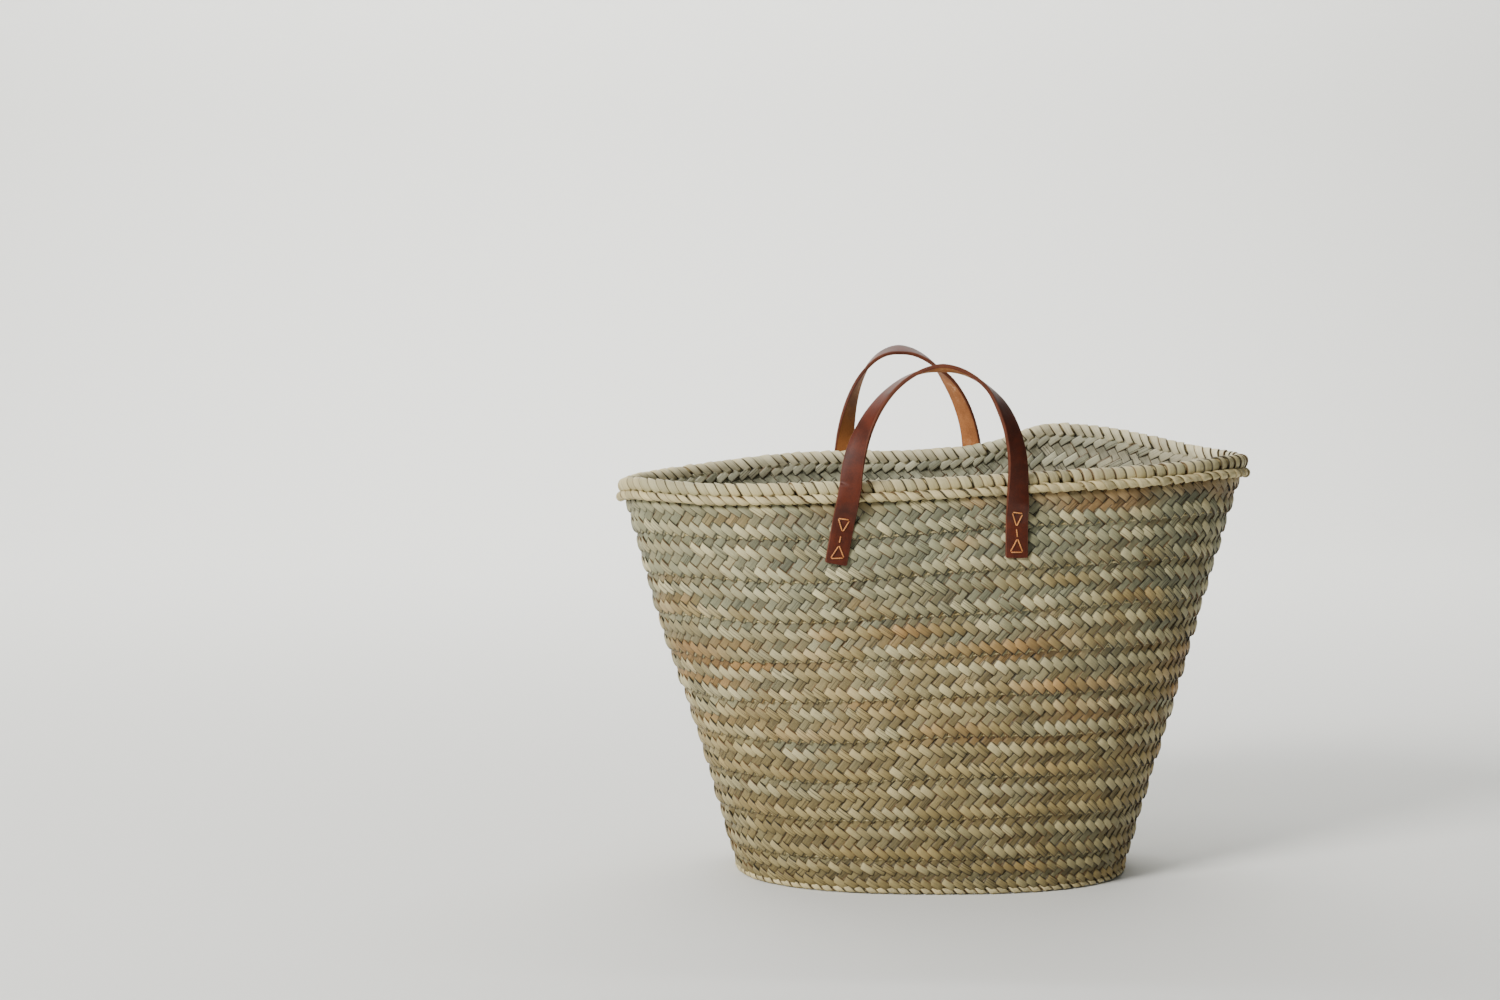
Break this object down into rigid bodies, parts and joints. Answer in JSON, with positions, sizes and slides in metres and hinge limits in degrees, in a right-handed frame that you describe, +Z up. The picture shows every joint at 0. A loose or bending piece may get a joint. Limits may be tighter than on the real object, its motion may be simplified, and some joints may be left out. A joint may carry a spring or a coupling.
{
  "type": "woven market basket",
  "caption": "Open oval palm-leaf basket with a flat base, a wrapped rim and two leather strap loops that fold in and out, for carrying shopping.",
  "frame": {"origin": "on the floor, at the middle of the base's flat underside", "axes": "+X along the long side of the mouth, +Y towards the back handle, +Z up out of the mouth"},
  "size_m": [0.5035, 0.2331, 0.4161],
  "materials": {
    "body_plait": "plaited dried palm leaf, satin",
    "base_plait": "plaited dried palm leaf, satin",
    "rim_leaf": "wrapped pale palm leaf, satin",
    "cream_cord": "twisted pale palm fibre, matte",
    "seam_cord": "twisted palm fibre, matte",
    "strap_leather": "waxed brown grain, tan flesh side",
    "backing_leather": "waxed brown grain",
    "waxed_thread": "waxed orange-tan thread"
  },
  "bodies": {
    "basket": {"base_plait_centre": "base_plait", "base_plait_round_1": "base_plait", "base_plait_round_2": "base_plait", "base_edge_cord": "cream_cord", "body_plait_round_01": "body_plait", "body_plait_round_02": "body_plait", "body_plait_round_03": "body_plait", "body_plait_round_04": "body_plait", "body_plait_round_05": "body_plait", "body_plait_round_06": "body_plait", "body_plait_round_07": "body_plait", "body_plait_round_08": "body_plait", "body_plait_round_09": "body_plait", "body_plait_round_10": "body_plait", "seam_cord_01": "seam_cord", "seam_cord_02": "seam_cord", "seam_cord_03": "seam_cord", "seam_cord_04": "seam_cord", "seam_cord_05": "seam_cord", "seam_cord_06": "seam_cord", "seam_cord_07": "seam_cord", "seam_cord_08": "seam_cord", "seam_cord_09": "seam_cord", "rim_core": "seam_cord", "rim_wrap": "rim_leaf", "rim_welt_cord": "cream_cord", "front_strap_left_end": "strap_leather", "front_strap_right_end": "strap_leather", "back_strap_left_end": "strap_leather", "back_strap_right_end": "strap_leather", "front_left_backing": "backing_leather", "front_right_backing": "backing_leather", "back_left_backing": "backing_leather", "back_right_backing": "backing_leather", "front_left_stitching": "waxed_thread", "front_right_stitching": "waxed_thread", "back_left_stitching": "waxed_thread", "back_right_stitching": "waxed_thread"},
    "front_handle": {"front_strap_loop": "strap_leather"},
    "back_handle": {"back_strap_loop": "strap_leather"}
  },
  "joints": [
    {"name": "front_handle_fold", "type": "hinge", "parent": "basket", "child": "front_handle", "pos_m": [-0.003, -0.1065, 0.331], "axis": [1, 0, 0], "range_deg": [-85, 100]},
    {"name": "back_handle_fold", "type": "hinge", "parent": "basket", "child": "back_handle", "pos_m": [-0.012, 0.1095, 0.337], "axis": [-1, 0, 0], "range_deg": [-85, 100]}
  ]
}
